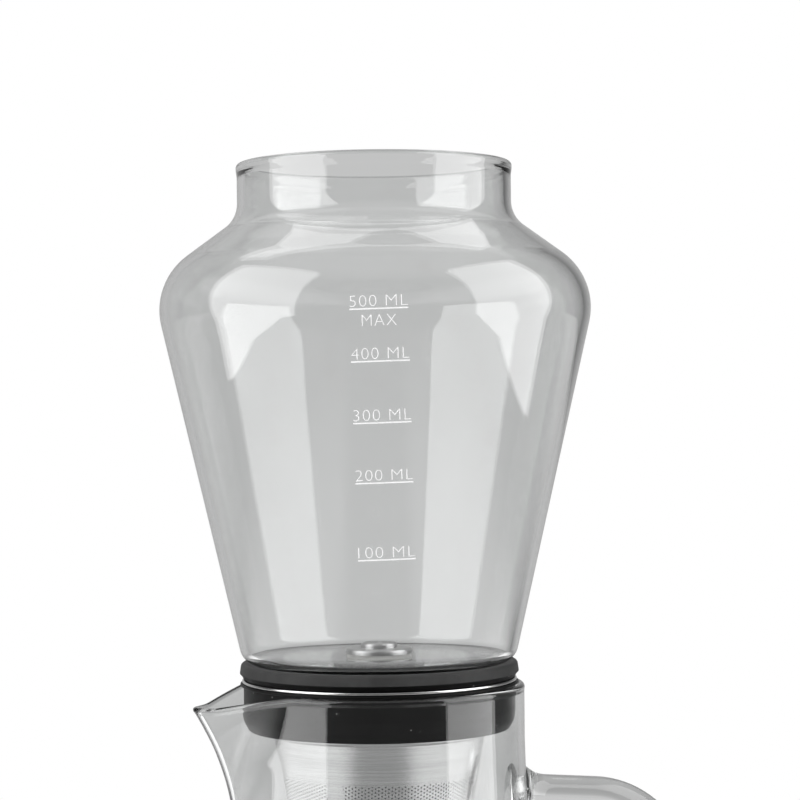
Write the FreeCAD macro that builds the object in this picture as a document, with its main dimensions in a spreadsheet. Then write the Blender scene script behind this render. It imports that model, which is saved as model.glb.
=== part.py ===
import FreeCAD, Part
import math
import os
import re
import Sketcher

# Cold drip coffee tower: a glass water tank with a drip valve in its floor stands on a steel
# filter cone, which hangs in the mouth of a glass carafe. Millimetres, +Z up, origin at the
# centre of the carafe's flat base. The pouring spout points along -X, the handle along +X.

doc = FreeCAD.newDocument("cold_drip_tower")
sheet = doc.addObject("Spreadsheet::Sheet", "Sizes")
levels = doc.addObject("App::VarSet", "Levels")
owner = {}      # which of the two objects above holds each named value
sub_parts = []  # the finished sub-parts, in the order they are built

sizes = {
    # carafe
    "carafe_height": 140.0,
    "carafe_wall": 1.8,
    "carafe_floor": 3.0,
    "mouth_radius": 36.5,      # outside of the neck at its waist, just under the lip
    "lip_flare": 0.35,         # how far the lip leans out past the waist
    "lip_depth": 4.0,          # waist to lip
    "lip_round": 0.8,
    "lip_sweep": 18.0,         # radius of the lip where it starts to fall to the spout
    "neck_drop": 37.3,         # lip to where the neck and the body would meet if sharp
    "neck_spread": 0.9,        # widening of the neck over that drop
    "neck_sweep": 190.0,       # radius of the long curve from neck to body
    "foot_radius": 57.0,       # body and base, where they would meet if sharp
    "foot_round": 14.0,
    "spout_reach": 11.3,       # how far the ridge leans out on its way up to the tip
    "spout_drop": 4.9,         # tip below the lip
    "spout_length": 39.0,      # tip down to where the ridge starts
    "spout_tip_round": 3.4,
    "spout_root_round": 15.0,
    "spout_fade": 0.3,         # how deep inside the neck's surface the ridge starts
    "spout_sink": 0.5,         # how deep inside it the flanks start
    "spout_start": 27.0,       # from the axis to where the lip begins to fall
    "spout_knee": 41.0,        # from the axis to where it levels out again
    "lip_ease": 0.05,          # height over the lip at which the falling curve ends
    "knee_share": 0.90,        # share of the drop that is reached there
    # carafe handle
    "handle_radius": 4.9,
    "handle_drop": 28.7,       # lip to the centre of the rod at its upper end
    "handle_reach": 80.5,      # axis to the centre of the grip
    "handle_droop": 4.1,       # fall of the upper arm on its way out to the grip
    "handle_top_bend": 24.0,
    "handle_low_bend": 23.0,
    "handle_tuck": 3.0,        # how far the grip comes in towards its lower bend
    "handle_height": 70.0,     # upper end to lower arm
    "handle_root_radius": 8.0,
    "handle_root_length": 6.5,
    # filter
    "steel_sheet": 0.5,
    "bead_radius": 0.45,       # rolled edge of the filter's cup
    "cup_depth": 12.1,         # top of the rolled edge to the step
    "step_ledge": 3.1,         # cup's wall in to the step
    "step_depth": 1.9,
    "cone_ledge": 2.5,         # step in to the top of the cone
    "cone_floor_radius": 14.4,
    "cone_depth": 69.6,
    "floor_rise": 2.4,         # depth of the filter floor's turned-up rim
    # filter gasket
    "gasket_flange": 0.6,      # thickness of the rim that lies on the carafe's lip
    "gasket_flange_width": 3.1,
    "gasket_wall": 2.2,
    "gasket_round": 1.6,
    "gasket_gap": 0.15,        # gasket to the inside of the neck
    "seat_gap": 0.05,          # between pieces that rest on each other
    "slip_gap": 0.05,          # between pieces that turn or slide in each other
    "nest_gap": 0.3,           # between pieces that lift out of each other
    # spreader
    "spreader_sheet": 0.6,
    "spreader_dish": 1.0,
    "spreader_hole_radius": 0.9,
    "spreader_pitch": 6.2,     # distance between rings of holes
    "tab_width": 9.0,
    "tab_height": 5.5,
    "tab_gap": 0.8,            # edge of the dish to the lifting tab
    "tab_hole_radius": 1.5,
    # tank
    "tank_wall": 1.8,
    "tank_neck_radius": 34.9,
    "foot_ledge": 2.2,         # how far the tank's foot reaches past the filter's cup
    "tank_foot_round": 5.0,
    "shoulder_radius": 56.9,   # cone and shoulder, where they would meet if sharp
    "shoulder_height": 97.1,   # above the underside of the tank
    "shoulder_round": 17.0,
    "shoulder_rise": 16.1,     # shoulder to the foot of the neck
    "collar_round": 8.0,
    "neck_length": 14.0,       # foot of the neck to the rim
    # tank base
    "base_overhang": 1.0,      # how far the ring stands out past the tank's foot
    "base_wall": 2.1,          # height of its upright band
    "base_cup": 1.2,           # how far it climbs round the tank
    "base_lean": 1.3,          # how far its top edge leans in over that height
    "base_underside": 3.45,    # tank's underside down to the face on the filter
    "base_undercut": 0.8,
    "spigot_depth": 4.0,
    "spigot_wall": 1.9,
    # drip valve
    "shank_radius": 5.0,
    "flange_radius": 8.5,
    "flange_height": 1.4,
    "washer_height": 0.9,
    "washer_width": 3.2,
    "hole_gap": 0.6,           # tank's hole round the shank
    "nut_height": 2.7,
    "nut_flats": 15.0,
    "nut_turn": 15.0,          # angle of the nut's first corner from +X
    "spigot_radius": 4.2,
    "knob_height": 6.8,
    "knob_radius": 12.0,
    "knob_gap": 0.2,           # nut to knob
    "knob_web": 3.4,           # length of the knob's bearing on the valve body
    "knob_rib_radius": 1.1,
    "knob_rib_count": 18,
    "clip_sheet": 0.5,
    "clip_radius": 5.6,
    "clip_groove": 0.6,
    "clip_mouth": 5.0,         # width of the clip's opening
    "insert_radius": 6.6,
    "insert_height": 1.9,
    "chamber_radius": 2.55,
    "inlet_radius": 1.2,
    "seat_angle": 45.0,
    "needle_nose_radius": 1.6,
    "needle_nose_length": 3.3,
    "needle_point_radius": 0.4,
    "needle_stem_length": 3.6,
    "needle_thread_radius": 2.0,
    "needle_travel": 1.4,
    "key_length": 2.4,
    "ring_section": 0.55,      # radius of the needle's O-ring
    "outlet_radius": 0.8,
    "port_radius": 0.55,       # cross hole that lets the water into the needle
    "tip_length": 2.2,
    "tip_radius": 1.3,
    "screen_radius": 4.6,
    "screen_height": 1.3,
    "screen_sheet": 0.35,
    "screen_pitch": 1.45,      # distance between rings of holes
    "screen_hole_radius": 0.35,
}

# Heights and radii that follow from the sizes.
derived = {
    "lip_waist": "carafe_height - lip_depth",
    "lip_radius": "mouth_radius + lip_flare",
    "neck_foot": "carafe_height - neck_drop",
    "neck_foot_radius": "mouth_radius + neck_spread",
    "neck_lean": "neck_spread / neck_drop",
    "body_lean": "(foot_radius - neck_foot_radius) / neck_foot",
    "floor_radius": "foot_radius - carafe_wall - body_lean * carafe_floor",
    "inner_mouth": "mouth_radius - carafe_wall",
    "gasket_seat": "carafe_height + seat_gap",
    "gasket_top": "gasket_seat + gasket_flange",
    "gasket_radius": "inner_mouth - gasket_gap",
    "cup_radius": "gasket_radius - gasket_wall - slip_gap",
    "step_radius": "cup_radius - step_ledge",
    "cone_top_radius": "step_radius - cone_ledge",
    "gasket_flange_radius": "cup_radius + gasket_flange_width",
    "bead_middle": "gasket_top + seat_gap + bead_radius",
    "cup_rim": "bead_middle + bead_radius",
    "cup_flange_top": "bead_middle + steel_sheet / 2",
    "bead_place": "gasket_flange_radius - bead_radius * 2",
    "step_level": "cup_rim - cup_depth",
    "cone_top": "step_level - step_depth",
    "cone_floor": "cone_top - cone_depth",
    "base_bottom": "cup_rim + seat_gap * 3",
    "tank_bottom": "base_bottom + base_underside",
    "shoulder_level": "tank_bottom + shoulder_height",
    "collar_level": "shoulder_level + shoulder_rise",
    "tank_top": "collar_level + neck_length",
    "tank_floor": "tank_bottom + tank_wall",
    "tank_foot_radius": "cup_radius + foot_ledge",
    "base_radius": "tank_foot_radius + base_overhang",
    "hole_radius": "shank_radius + hole_gap",
    "washer_radius": "shank_radius + washer_width",
    "flange_bottom": "tank_floor + washer_height",
    "flange_top": "flange_bottom + flange_height",
    "nut_top": "tank_bottom - washer_height",
    "nut_bottom": "nut_top - nut_height",
    "nut_corner_radius": "nut_flats / 2 / cos(30)",
    "knob_top": "nut_bottom - knob_gap",
    "knob_bottom": "knob_top - knob_height",
    "web_bottom": "knob_top - knob_web",
    "knob_bore": "spigot_radius + slip_gap",
    "clip_top": "web_bottom - slip_gap",
    "clip_bottom": "clip_top - clip_sheet",
    "spigot_bottom": "clip_bottom - slip_gap - clip_groove",
    "insert_top": "knob_bottom + insert_height",
    "seat_slope": "tan(seat_angle)",
    "seat_top": "flange_bottom + slip_gap",
    "seat_bottom": "seat_top - (chamber_radius - inlet_radius) / seat_slope",
    "stem_radius": "chamber_radius - slip_gap",
    "nose_top": "seat_top - (needle_nose_radius - inlet_radius) / seat_slope - slip_gap * 2",
    "nose_bottom": "nose_top - needle_nose_length",
    "nose_point": "nose_top + (needle_nose_radius - needle_point_radius) / seat_slope",
    "stem_bottom": "nose_bottom - needle_stem_length",
    "key_top": "stem_bottom - needle_travel - slip_gap * 2",
    "tip_top": "knob_bottom - slip_gap * 2",
    "ring_level": "nose_bottom - needle_stem_length / 2",
    "ring_place": "stem_radius - ring_section",
    "ring_seat_radius": "ring_place - ring_section - slip_gap / 2",
    "port_level": "nose_bottom + outlet_radius",
    "key_foot": "stem_bottom - key_length",
    "key_bore": "needle_thread_radius + slip_gap",
    "clip_seat_radius": "spigot_radius - clip_groove",
    "spigot_outside": "cup_radius - steel_sheet - nest_gap",
    "spigot_inside": "spigot_outside - spigot_wall",
    "handle_level": "carafe_height - handle_drop",
    "handle_foot": "handle_level - handle_height",
    "handle_start": "mouth_radius - handle_root_radius / 2",
    "handle_slope": "handle_droop / (handle_reach - handle_start)",
    "cone_lean": "(cone_top_radius - cone_floor_radius) / cone_depth",
    "floor_rim": "cone_floor_radius - steel_sheet - slip_gap",
    "spreader_level": "cone_top + steel_sheet + slip_gap",
    "spreader_radius": "step_radius - steel_sheet - nest_gap",
    "dish_radius": "spreader_pitch * 3.5",
    "dish_edge": "dish_radius + spreader_dish * 1.5",
    "tab_place": "dish_edge + tab_gap",
    "tab_foot": "spreader_level + spreader_sheet",
    "tab_end": "spreader_radius - spreader_sheet",
}


def linked(formula):
    """Write each named value in a formula with the object that holds it."""
    return re.sub(r"[a-z]+(_[a-z]+)+", lambda found: f"{owner[found.group()]}.{found.group()}", formula)


for row, (name, amount) in enumerate(sizes.items(), start=1):
    sheet.set(f"A{row}", name)
    sheet.set(f"B{row}", str(amount))
    sheet.setAlias(f"B{row}", name)
    owner[name] = "Sizes"
doc.recompute()
for name, formula in derived.items():
    levels.addProperty("App::PropertyFloat", name)
    owner[name] = "Levels"
    levels.setExpression(name, linked(formula))
doc.recompute()


def number(formula):
    return float(sheet.evalExpression(linked(formula)))


def new_body(label):
    body = doc.addObject("PartDesign::Body", label)
    body.Label = label
    return body


def new_sketch(body, name, plane, offset=None):
    """Start a sketch on one of the body's own planes, moved along that plane's normal."""
    sketch = body.newObject("Sketcher::SketchObject", name)
    support = next(item for item in body.Origin.OriginFeatures if item.Role == plane)
    sketch.AttachmentSupport = (support, [""])
    sketch.MapMode = "FlatFace"
    if offset:
        sketch.setExpression("AttachmentOffset.Base.z", linked(offset))
    return sketch


def tie(sketch, kind, *references, formula):
    """Add a constraint whose value follows a formula."""
    index = sketch.addConstraint(Sketcher.Constraint(kind, *references, number(formula)))
    sketch.setExpression(f"Constraints[{index}]", linked(formula))


def place_point(sketch, geometry, end, across, along):
    """Fix one end of a sketch element; a coordinate of 0 lies on the axis itself."""
    if across == "0":
        sketch.addConstraint(Sketcher.Constraint("PointOnObject", geometry, end, -2))
    else:
        tie(sketch, "DistanceX", -1, 1, geometry, end, formula=across)
    if along == "0":
        sketch.addConstraint(Sketcher.Constraint("PointOnObject", geometry, end, -1))
    else:
        tie(sketch, "DistanceY", -1, 1, geometry, end, formula=along)


def draw_outline(sketch, corners, closed=True):
    """Draw an outline through corners (across, along, rounding or None).

    A rounded corner keeps its sharp point as a construction point, and an arc of the given
    radius touches both sides, so every size stays a constraint of its own.
    """
    points = [FreeCAD.Vector(number(across), number(along), 0) for across, along, _ in corners]
    rounds = [number(rounding) if rounding else 0.0 for _, _, rounding in corners]
    count = len(corners)
    ends = []
    for here in range(count):
        back = (points[here - 1] - points[here]).normalize()
        ahead = (points[(here + 1) % count] - points[here]).normalize()
        cut = rounds[here] / math.tan(back.getAngle(ahead) / 2) if rounds[here] else 0.0
        ends.append((points[here] + back * cut, points[here] + ahead * cut, back, ahead))
    lines = [sketch.addGeometry(Part.LineSegment(ends[here][1], ends[(here + 1) % count][0]))
             for here in range(count if closed else count - 1)]
    if not closed:
        place_point(sketch, lines[0], 1, *corners[0][:2])
        place_point(sketch, lines[-1], 2, *corners[-1][:2])
    for here in range(0 if closed else 1, count if closed else count - 1):
        across, along, rounding = corners[here]
        before, after = lines[here - 1], lines[here]
        if not rounding:
            sketch.addConstraint(Sketcher.Constraint("Coincident", before, 2, after, 1))
            place_point(sketch, after, 1, across, along)
            continue
        sharp = sketch.addGeometry(Part.Point(points[here]), True)
        place_point(sketch, sharp, 1, across, along)
        sketch.addConstraint(Sketcher.Constraint("PointOnObject", sharp, 1, before))
        sketch.addConstraint(Sketcher.Constraint("PointOnObject", sharp, 1, after))
        start, stop, back, ahead = ends[here]
        middle = points[here] + (back + ahead).normalize() * (
            rounds[here] / math.sin(back.getAngle(ahead) / 2))
        turns_left = back.cross(ahead).z < 0
        first, last = (start, stop) if turns_left else (stop, start)
        angles = [math.atan2(spot.y - middle.y, spot.x - middle.x) for spot in (first, last)]
        circle = Part.Circle(middle, FreeCAD.Vector(0, 0, 1), rounds[here])
        arc = sketch.addGeometry(Part.ArcOfCircle(circle, *angles))
        sketch.addConstraint(Sketcher.Constraint("Tangent", before, 2, arc, 1 if turns_left else 2))
        sketch.addConstraint(Sketcher.Constraint("Tangent", arc, 2 if turns_left else 1, after, 1))
        tie(sketch, "Radius", arc, formula=rounding)


def draw_circle(sketch, radius, across="0", along="0"):
    spot = FreeCAD.Vector(number(across), number(along), 0)
    circle = sketch.addGeometry(Part.Circle(spot, FreeCAD.Vector(0, 0, 1), number(radius)))
    place_point(sketch, circle, 3, across, along)
    tie(sketch, "Radius", circle, formula=radius)


def turn(body, kind, name, corners):
    """Revolve an outline in the XZ plane about the tower's axis, to add or to cut."""
    sketch = new_sketch(body, name + "_outline", "XZ_Plane")
    draw_outline(sketch, corners)
    feature = body.newObject(f"PartDesign::{kind}", name)
    feature.Profile = sketch
    feature.ReferenceAxis = (sketch, ["V_Axis"])
    feature.Angle = 360
    return feature


def turned_body(label, corners):
    body = new_body(label)
    turn(body, "Revolution", label + "_turning", corners)
    return body


def finish(item, label=None):
    """Keep an object as a sub-part, in its place in the tower's frame."""
    if label:
        item.Label = label
    item.Placement = FreeCAD.Placement()
    sub_parts.append(item)
    return item


def cut_through(body, name, plane, draw, length=None, through=True, offset=None, reversed_cut=False):
    """Pocket a sketch out of a body and make sure that it removed something."""
    doc.recompute()
    volume = body.Shape.Volume
    sketch = new_sketch(body, name + "_outline", plane, offset)
    draw(sketch)
    pocket = body.newObject("PartDesign::Pocket", name)
    pocket.Profile = sketch
    pocket.Reversed = reversed_cut
    if through:
        pocket.Type = "ThroughAll"
        pocket.Midplane = True
    else:
        pocket.setExpression("Length", linked(length))
    doc.recompute()
    if body.Shape.Volume >= volume:
        raise RuntimeError(f"{name} removes nothing")
    return pocket


def ring_pattern(body, feature, name, count):
    """Repeat a feature evenly round the tower's axis."""
    axis = next(item for item in body.Origin.OriginFeatures if item.Role == "Z_Axis")
    pattern = body.newObject("PartDesign::PolarPattern", name)
    pattern.Originals = [feature]
    pattern.Axis = (axis, [""])
    pattern.Angle = 360
    pattern.setExpression("Occurrences", linked(count))
    body.Tip = pattern
    return pattern


# ---- Carafe ----

carafe_outside = [
    ("0", "0", None),
    ("foot_radius", "0", "foot_round"),
    ("neck_foot_radius", "neck_foot", "neck_sweep"),
    ("mouth_radius", "lip_waist", None),
    ("lip_radius", "carafe_height", "lip_round"),
    ("0", "carafe_height", None),
]
carafe_inside = [
    ("0", "carafe_floor", None),
    ("floor_radius", "carafe_floor", "foot_round - carafe_wall"),
    ("neck_foot_radius - carafe_wall", "neck_foot", "neck_sweep + carafe_wall"),
    ("inner_mouth", "lip_waist", None),
    ("lip_radius - carafe_wall", "carafe_height", "lip_round"),
    ("lip_radius * 1.1", "carafe_height", None),
    ("lip_radius * 1.1", "carafe_height * 1.1", None),
    ("0", "carafe_height * 1.1", None),
]


def draw_drop(sketch, neck_round, reach, tip_round):
    """Draw a drop shape: the neck's circle and a small tip arc, joined by two tangents."""
    radius, tip = number(neck_round), number(tip_round)
    centre = number(reach) - tip
    lean = math.acos((radius - tip) / centre)
    up = FreeCAD.Vector(0, 0, 1)
    round_back = sketch.addGeometry(Part.ArcOfCircle(
        Part.Circle(FreeCAD.Vector(0, 0, 0), up, radius), lean - math.pi, math.pi - lean))
    round_tip = sketch.addGeometry(Part.ArcOfCircle(
        Part.Circle(FreeCAD.Vector(-centre, 0, 0), up, tip), math.pi - lean, math.pi + lean))
    flanks = []
    for side in (-1, 1):
        turn_to = FreeCAD.Vector(-math.cos(lean), side * math.sin(lean), 0)
        start = turn_to * radius
        stop = turn_to * tip + FreeCAD.Vector(-centre, 0, 0)
        flanks.append(sketch.addGeometry(Part.LineSegment(start, stop)))
    sketch.addConstraint(Sketcher.Constraint("Coincident", round_back, 3, -1, 1))
    sketch.addConstraint(Sketcher.Constraint("PointOnObject", round_tip, 3, -1))
    tie(sketch, "Radius", round_back, formula=neck_round)
    tie(sketch, "Radius", round_tip, formula=tip_round)
    tie(sketch, "DistanceX", round_tip, 3, -1, 1, formula=f"{reach} - ({tip_round})")
    low, high = flanks
    sketch.addConstraint(Sketcher.Constraint("Tangent", low, 1, round_back, 1))
    sketch.addConstraint(Sketcher.Constraint("Tangent", low, 2, round_tip, 2))
    sketch.addConstraint(Sketcher.Constraint("Tangent", high, 1, round_back, 2))
    sketch.addConstraint(Sketcher.Constraint("Tangent", high, 2, round_tip, 1))


def pull_spout(body, kind, name, sink):
    """Loft the spout through drop shapes that stand out more and sharpen towards the lip."""
    steps = (0.18, 0.36, 0.54, 0.72, 0.90, 1.04)
    sections = []
    for step in steps:
        share = f"(spout_length + spout_drop) / spout_length * {step}"
        depth = f"(spout_length + spout_drop) * {1 - step:.2f}"
        neck_round = f"mouth_radius - spout_sink - {sink}"
        ridge = f"mouth_radius + neck_lean * {depth} - spout_fade - {sink}"
        reach = f"{ridge} + spout_reach * ({share}) ^ 2"
        tip = f"spout_tip_round + (spout_root_round - spout_tip_round) * {1 - step:.2f} - {sink}"
        level = f"carafe_height - {depth}"
        sketch = new_sketch(body, f"{name}_section_{len(sections)}", "XY_Plane", level)
        draw_drop(sketch, neck_round, reach, tip)
        sections.append(sketch)
    loft = body.newObject(f"PartDesign::{kind}", name)
    loft.Profile = sections[0]
    loft.Sections = sections[1:]
    return loft


carafe = turned_body("carafe_glass", carafe_outside)
pull_spout(carafe, "AdditiveLoft", "spout_outside", "0")
doc.recompute()
turn(carafe, "Groove", "carafe_hollow", carafe_inside)
doc.recompute()
pull_spout(carafe, "SubtractiveLoft", "spout_channel", "carafe_wall")
doc.recompute()
cut_through(carafe, "spout_lip", "XZ_Plane", lambda sketch: draw_outline(sketch, [
    ("-mouth_radius * 2", "carafe_height - spout_drop * (2 - knee_share)", None),
    ("-spout_knee", "carafe_height - spout_drop * knee_share", "lip_sweep * 2"),
    ("-spout_start", "carafe_height + lip_ease", "lip_sweep"),
    ("-spout_start / 2", "carafe_height + lip_ease", None),
    ("-spout_start / 2", "carafe_height * 1.1", None),
    ("-mouth_radius * 2", "carafe_height * 1.1", None),
]))
finish(carafe)

# ---- Carafe handle: a glass rod bent to a loop, melted on to the body at two flared roots ----

carafe_form = turned_body("carafe_form", carafe_outside)
rod = new_body("handle_rod")
route = new_sketch(rod, "handle_route", "XZ_Plane")
draw_outline(route, [
    ("handle_start", "handle_level", None),
    ("handle_reach", "handle_level - handle_droop", "handle_top_bend"),
    ("handle_reach - handle_tuck", "handle_foot", "handle_low_bend"),
    ("handle_start", "handle_foot", None),
], closed=False)
pipe_end = new_sketch(rod, "handle_section", "YZ_Plane", "handle_start")
draw_circle(pipe_end, "handle_radius", "0", "handle_level")
pipe = rod.newObject("PartDesign::AdditivePipe", "handle_bend")
pipe.Profile = pipe_end
pipe.Spine = (route, [])
doc.recompute()


def flare_root(name, level, slope, surface):
    """Widen the rod smoothly where it melts into the carafe's wall."""
    sections = []
    for step, share in ((-0.4, 1.0), (0.25, 0.38), (1.0, -0.05)):
        offset = f"{surface} + handle_root_length * {step}"
        sketch = new_sketch(rod, f"{name}_section_{len(sections)}", "YZ_Plane", offset)
        width = f"handle_radius + (handle_root_radius - handle_radius) * {share}"
        draw_circle(sketch, width, "0", f"{level} - {slope} * ({offset} - handle_start)")
        sections.append(sketch)
    loft = rod.newObject("PartDesign::AdditiveLoft", name)
    loft.Profile = sections[0]
    loft.Sections = sections[1:]
    doc.recompute()


flare_root("upper_root", "handle_level", "handle_slope", "neck_foot_radius")
flare_root("lower_root", "handle_foot", "0", "(foot_radius - body_lean * handle_foot)")
handle = doc.addObject("Part::Cut", "carafe_handle")
handle.Base = rod
handle.Tool = carafe_form
finish(handle)

# ---- Filter: a stamped cup with a rolled edge, a perforated cone and its floor ----

filter_cup = turned_body("filter_cup", [
    ("step_radius - steel_sheet", "step_level", None),
    ("cup_radius - steel_sheet", "step_level", "steel_sheet"),
    ("cup_radius - steel_sheet", "cup_flange_top", "steel_sheet"),
    ("bead_place", "cup_flange_top", None),
    ("bead_place", "cup_flange_top - steel_sheet", None),
    ("cup_radius", "cup_flange_top - steel_sheet", None),
    ("cup_radius", "step_level - steel_sheet", "steel_sheet * 2"),
    ("step_radius", "step_level - steel_sheet", None),
    ("step_radius", "cone_top", "steel_sheet * 1.4"),
    ("cone_top_radius - steel_sheet", "cone_top", None),
    ("cone_top_radius - steel_sheet", "cone_top + steel_sheet", None),
    ("step_radius - steel_sheet", "cone_top + steel_sheet", None),
])
roll = new_sketch(filter_cup, "bead_section", "XZ_Plane")
draw_circle(roll, "bead_radius", "bead_place", "bead_middle")
bead = filter_cup.newObject("PartDesign::Revolution", "rolled_bead")
bead.Profile = roll
bead.ReferenceAxis = (roll, ["V_Axis"])
bead.Angle = 360
finish(filter_cup)

finish(turned_body("filter_cone", [
    ("cone_top_radius - steel_sheet", "cone_top", None),
    ("cone_top_radius", "cone_top", None),
    ("cone_floor_radius", "cone_floor", None),
    ("cone_floor_radius - steel_sheet", "cone_floor", None),
]))
finish(turned_body("filter_floor", [
    ("0", "cone_floor", None),
    ("floor_rim", "cone_floor", "steel_sheet"),
    ("floor_rim + cone_lean * floor_rise", "cone_floor + floor_rise", None),
    ("floor_rim + cone_lean * floor_rise - steel_sheet", "cone_floor + floor_rise", None),
    ("floor_rim - steel_sheet", "cone_floor + steel_sheet", None),
    ("0", "cone_floor + steel_sheet", None),
]))
finish(turned_body("filter_gasket", [
    ("cup_radius + slip_gap", "step_level - steel_sheet", None),
    ("gasket_radius", "step_level - steel_sheet", "gasket_round"),
    ("gasket_radius", "gasket_seat", None),
    ("gasket_flange_radius", "gasket_seat", None),
    ("gasket_flange_radius", "gasket_top", None),
    ("cup_radius + slip_gap", "gasket_top", None),
]))

# ---- Spreader: a perforated plate on the cup's ledge, with a tab to lift it by ----

spreader = turned_body("spreader_disc", [
    ("0", "spreader_level - spreader_dish", None),
    ("dish_radius", "spreader_level - spreader_dish", None),
    ("dish_edge", "spreader_level", None),
    ("spreader_radius", "spreader_level", None),
    ("spreader_radius", "spreader_level + spreader_sheet", None),
    ("dish_edge", "spreader_level + spreader_sheet", None),
    ("dish_radius", "spreader_level - spreader_dish + spreader_sheet", None),
    ("0", "spreader_level - spreader_dish + spreader_sheet", None),
])
cut_through(spreader, "middle_hole", "XY_Plane",
            lambda sketch: draw_circle(sketch, "spreader_hole_radius"))
for ring in (1, 2, 3):
    hole = cut_through(spreader, f"ring_{ring}_hole", "XY_Plane",
                       lambda sketch: draw_circle(sketch, "spreader_hole_radius", f"spreader_pitch * {ring}"))
    ring_pattern(spreader, hole, f"ring_{ring}_holes", str(6 * ring))
finish(spreader)

tab = new_body("spreader_tab")
tab_side = new_sketch(tab, "tab_side", "XZ_Plane")
draw_outline(tab_side, [
    ("tab_end", "tab_foot", None),
    ("tab_end", "tab_foot + spreader_sheet", None),
    ("tab_place + spreader_sheet", "tab_foot + spreader_sheet", None),
    ("tab_place + spreader_sheet", "tab_foot + tab_height", None),
    ("tab_place", "tab_foot + tab_height", None),
    ("tab_place", "tab_foot", "spreader_sheet"),
])
bend = tab.newObject("PartDesign::Pad", "tab_bend")
bend.Profile = tab_side
bend.Midplane = True
bend.setExpression("Length", linked("tab_width"))
cut_through(tab, "finger_hole", "YZ_Plane",
            lambda sketch: draw_circle(sketch, "tab_hole_radius", "0",
                                       "tab_foot + tab_height - tab_hole_radius * 2"))
finish(tab)

# ---- Tank: blown glass, open at the neck, with a hole in its floor for the valve ----

tank_outside = [
    ("0", "tank_bottom", None),
    ("tank_foot_radius", "tank_bottom", "tank_foot_round"),
    ("shoulder_radius", "shoulder_level", "shoulder_round"),
    ("tank_neck_radius", "collar_level", "collar_round"),
    ("tank_neck_radius", "tank_top", None),
    ("0", "tank_top", None),
]
tank = turned_body("tank_glass", tank_outside)
doc.recompute()
top_face = max(range(len(tank.Shape.Faces)), key=lambda spot: tank.Shape.Faces[spot].CenterOfMass.z)
blank = tank.Tip
shell = tank.newObject("PartDesign::Thickness", "blown_wall")
shell.Base = (blank, [f"Face{top_face + 1}"])
shell.setExpression("Value", linked("tank_wall"))
shell.Reversed = True
doc.recompute()
rim_edges = [f"Edge{spot + 1}" for spot, edge in enumerate(tank.Shape.Edges)
             if edge.BoundBox.ZMin > number("tank_top") - 0.01]
rim = tank.newObject("PartDesign::Fillet", "fire_polished_rim")
rim.Base = (shell, rim_edges)
rim.setExpression("Radius", linked("tank_wall * 0.45"))
cut_through(tank, "valve_hole", "XY_Plane", lambda sketch: draw_circle(sketch, "hole_radius"))
finish(tank)

# ---- Tank base: a soft ring that cups the tank's foot and centres it on the filter ----

base = turned_body("tank_base", [
    ("spigot_inside", "base_bottom - spigot_depth", "spigot_wall / 4"),
    ("spigot_outside", "base_bottom - spigot_depth", "spigot_wall / 4"),
    ("spigot_outside", "base_bottom", None),
    ("base_radius - base_undercut", "base_bottom", None),
    ("base_radius", "tank_bottom - base_wall", "base_undercut"),
    ("base_radius", "tank_bottom", "base_undercut"),
    ("base_radius - base_lean", "tank_bottom + base_cup", None),
    ("spigot_inside", "tank_bottom + base_cup", None),
])
turn(base, "Groove", "tank_nest", tank_outside)
finish(base)

# ---- Drip valve: a needle on a screw, turned by a knob under the tank ----

valve = turned_body("valve_body", [
    ("inlet_radius", "flange_top", None),
    ("flange_radius", "flange_top", "flange_height / 2"),
    ("flange_radius", "flange_bottom", None),
    ("shank_radius", "flange_bottom", None),
    ("shank_radius", "nut_bottom", None),
    ("spigot_radius", "nut_bottom", None),
    ("spigot_radius", "clip_top + slip_gap", None),
    ("clip_seat_radius", "clip_top + slip_gap", None),
    ("clip_seat_radius", "clip_bottom - slip_gap", None),
    ("spigot_radius", "clip_bottom - slip_gap", None),
    ("spigot_radius", "spigot_bottom", None),
    ("key_bore", "spigot_bottom", None),
    ("key_bore", "key_top", None),
    ("chamber_radius", "key_top", None),
    ("chamber_radius", "seat_bottom", None),
    ("inlet_radius", "seat_top", None),
])


def draw_key_hole(sketch):
    draw_outline(sketch, [
        ("-chamber_radius", "-key_bore", None),
        ("chamber_radius", "-key_bore", None),
        ("chamber_radius", "key_bore", None),
        ("-chamber_radius", "key_bore", None),
    ])


cut_through(valve, "key_hole", "XY_Plane", draw_key_hole, length="key_top - spigot_bottom",
            through=False, offset="spigot_bottom", reversed_cut=True)
finish(valve)

for label, low, high in (("valve_upper_washer", "tank_floor", "flange_bottom"),
                         ("valve_lower_washer", "nut_top", "tank_bottom")):
    finish(turned_body(label, [
        ("shank_radius + slip_gap", low, None),
        ("washer_radius", low, None),
        ("washer_radius", high, None),
        ("shank_radius + slip_gap", high, None),
    ]))

nut = new_body("valve_nut")
nut_face = new_sketch(nut, "nut_face", "XY_Plane", "nut_bottom")
draw_outline(nut_face, [(f"nut_corner_radius * cos(nut_turn + {60 * corner})",
                         f"nut_corner_radius * sin(nut_turn + {60 * corner})", None)
                        for corner in range(6)])
draw_circle(nut_face, "shank_radius + slip_gap")
nut_block = nut.newObject("PartDesign::Pad", "nut_block")
nut_block.Profile = nut_face
nut_block.setExpression("Length", linked("nut_height"))
finish(nut)

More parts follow.
